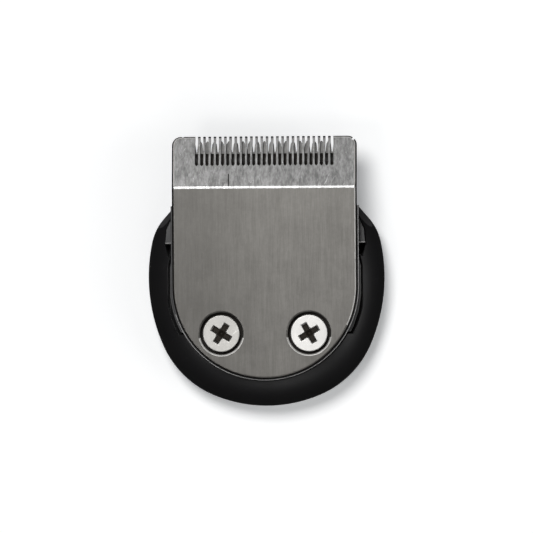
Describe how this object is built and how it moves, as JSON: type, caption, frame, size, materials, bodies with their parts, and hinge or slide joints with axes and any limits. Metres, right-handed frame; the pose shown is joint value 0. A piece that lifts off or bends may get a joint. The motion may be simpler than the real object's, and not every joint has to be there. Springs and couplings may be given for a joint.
{
  "type": "trimmer blade head",
  "caption": "Detachable hair trimmer head: bent steel comb blade with a sliding cutter, on a black moulded housing with a collar for the drive.",
  "frame": {"origin": "on the plane of the back rim, under the middle of the head's outline", "axes": "+Y towards the comb's tips, +Z out of the comb blade's face, +X along the row of teeth, to the right when seen from the face with the teeth up"},
  "size_m": [0.041, 0.0468, 0.014],
  "materials": {
    "shell_plastic": "satin black moulded",
    "frame_plastic": "fine grained black moulded",
    "comb_steel": "brushed along the teeth, ground toothed part",
    "cutter_steel": "ground",
    "screw_nickel": "satin nickel plated",
    "carrier_plastic": "moulded",
    "fork_plastic": "natural moulded",
    "spring_steel": "bright rolled",
    "clip_plastic": "moulded",
    "cover_plastic": "fine grained black moulded",
    "small_screw_steel": "zinc plated"
  },
  "bodies": {
    "housing": {"outer_shell": "shell_plastic", "inner_frame": "frame_plastic", "fixed_blade": "comb_steel", "blade_screw_left": "screw_nickel", "blade_screw_right": "screw_nickel", "pressure_spring": "spring_steel", "spring_clip": "clip_plastic", "spring_clip_screw": "small_screw_steel", "back_cover": "cover_plastic", "back_screw_left": "small_screw_steel", "back_screw_right": "small_screw_steel"},
    "cutter": {"moving_blade": "cutter_steel", "cutter_carrier": "carrier_plastic", "drive_fork": "fork_plastic"}
  },
  "joints": [
    {"name": "cutter_slide", "type": "slide", "parent": "housing", "child": "cutter", "axis": [1, 0, 0], "range_m": [-0.0009, 0.0009]}
  ]
}
